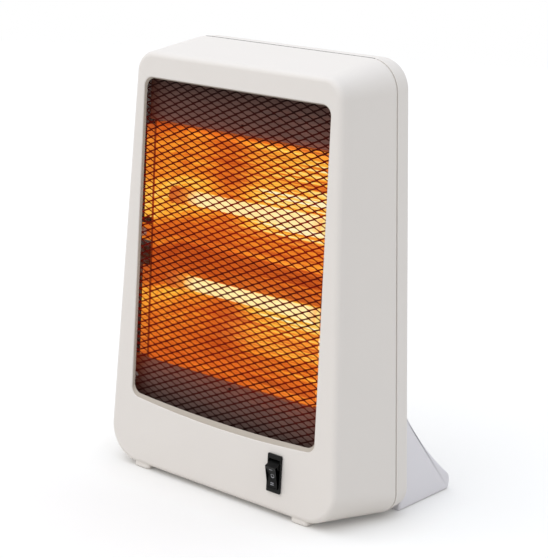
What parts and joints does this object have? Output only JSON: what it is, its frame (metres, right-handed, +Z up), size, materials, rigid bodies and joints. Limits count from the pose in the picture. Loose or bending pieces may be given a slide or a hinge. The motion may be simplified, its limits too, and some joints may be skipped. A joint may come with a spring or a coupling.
{
  "type": "halogen heater",
  "caption": "Upright radiant heater with two quartz tubes before a folded reflector, expanded-metal grille, rocker switch, rear feet and tip-over switch.",
  "frame": {"origin": "middle of the footprint at floor level", "axes": "+Z up, the grille faces -Y, +X to the right seen from the front"},
  "size_m": [0.2682, 0.1625, 0.36],
  "materials": {
    "white_housing": "satin moulded plastic",
    "grey_foot": "satin moulded plastic",
    "black_steel": "heat-proof black paint",
    "polished_reflector": "polished",
    "quartz": "clear quartz glass",
    "heating_wire": "glowing resistance wire",
    "ceramic": "unglazed ceramic",
    "black_plastic": "moulded gloss",
    "gland_rubber": "matt",
    "wire_sleeve": "silicone sleeve",
    "pale_plastic": "moulded",
    "brass_terminal": "stamped",
    "zinc_steel": "zinc plated"
  },
  "bodies": {
    "heater": {"ceramic_cap_lower_left": "ceramic", "ceramic_cap_lower_right": "ceramic", "ceramic_cap_upper_left": "ceramic", "ceramic_cap_upper_right": "ceramic", "cord_gland": "gland_rubber", "cover_screw_bottom_left": "zinc_steel", "cover_screw_bottom_right": "zinc_steel", "cover_screw_middle_left": "zinc_steel", "cover_screw_middle_right": "zinc_steel", "cover_screw_top_left": "zinc_steel", "cover_screw_top_right": "zinc_steel", "flange_screw_lower": "zinc_steel", "flange_screw_upper": "zinc_steel", "foot_screw_lower_left": "zinc_steel", "foot_screw_lower_right": "zinc_steel", "foot_screw_upper_left": "zinc_steel", "foot_screw_upper_right": "zinc_steel", "front_housing": "white_housing", "grille": "black_steel", "heating_coil_lower": "heating_wire", "heating_coil_upper": "heating_wire", "lower_heat_shield": "black_steel", "quartz_tube_lower": "quartz", "quartz_tube_upper": "quartz", "rear_cover": "white_housing", "rear_foot_left": "grey_foot", "rear_foot_right": "grey_foot", "reflector": "polished_reflector", "reflector_screw_left": "zinc_steel", "reflector_screw_right": "zinc_steel", "shield_screw_lower_left": "zinc_steel", "shield_screw_lower_right": "zinc_steel", "shield_screw_upper_left": "zinc_steel", "shield_screw_upper_right": "zinc_steel", "switch_housing": "black_plastic", "switch_terminal_common": "brass_terminal", "switch_terminal_first": "brass_terminal", "switch_terminal_second": "brass_terminal", "terminal_block": "pale_plastic", "thermal_cut_out": "zinc_steel", "tip_frame_screw_left": "zinc_steel", "tip_frame_screw_right": "zinc_steel", "tip_microswitch": "black_plastic", "tip_spring": "zinc_steel", "tip_switch_frame": "black_plastic", "tube_bracket_left": "zinc_steel", "tube_bracket_right": "zinc_steel", "tube_stud_lower_left": "zinc_steel", "tube_stud_lower_right": "zinc_steel", "tube_stud_upper_left": "zinc_steel", "tube_stud_upper_right": "zinc_steel", "upper_heat_shield": "black_steel", "wire_between_tubes": "wire_sleeve", "wire_cut_out_to_tip_switch": "wire_sleeve", "wire_cut_out_to_upper_tube": "wire_sleeve", "wire_switch_to_terminals": "wire_sleeve", "wire_tip_switch_to_terminals": "wire_sleeve"},
    "rocker": {"switch_rocker": "black_plastic"},
    "tip_over_plunger": {"tip_plunger": "black_plastic"}
  },
  "joints": [
    {"name": "rocker_tilt", "type": "hinge", "parent": "heater", "child": "rocker", "pos_m": [0.0604, -0.06957, 0.0363], "axis": [-1, 0, 0], "range_deg": [0, 24]},
    {"name": "plunger_drop", "type": "slide", "parent": "heater", "child": "tip_over_plunger", "axis": [0, 0, -1], "range_m": [0, 0.005], "stiffness_N_per_m": 60, "springref_m": 0.012, "deforming": ["tip_spring"]}
  ]
}
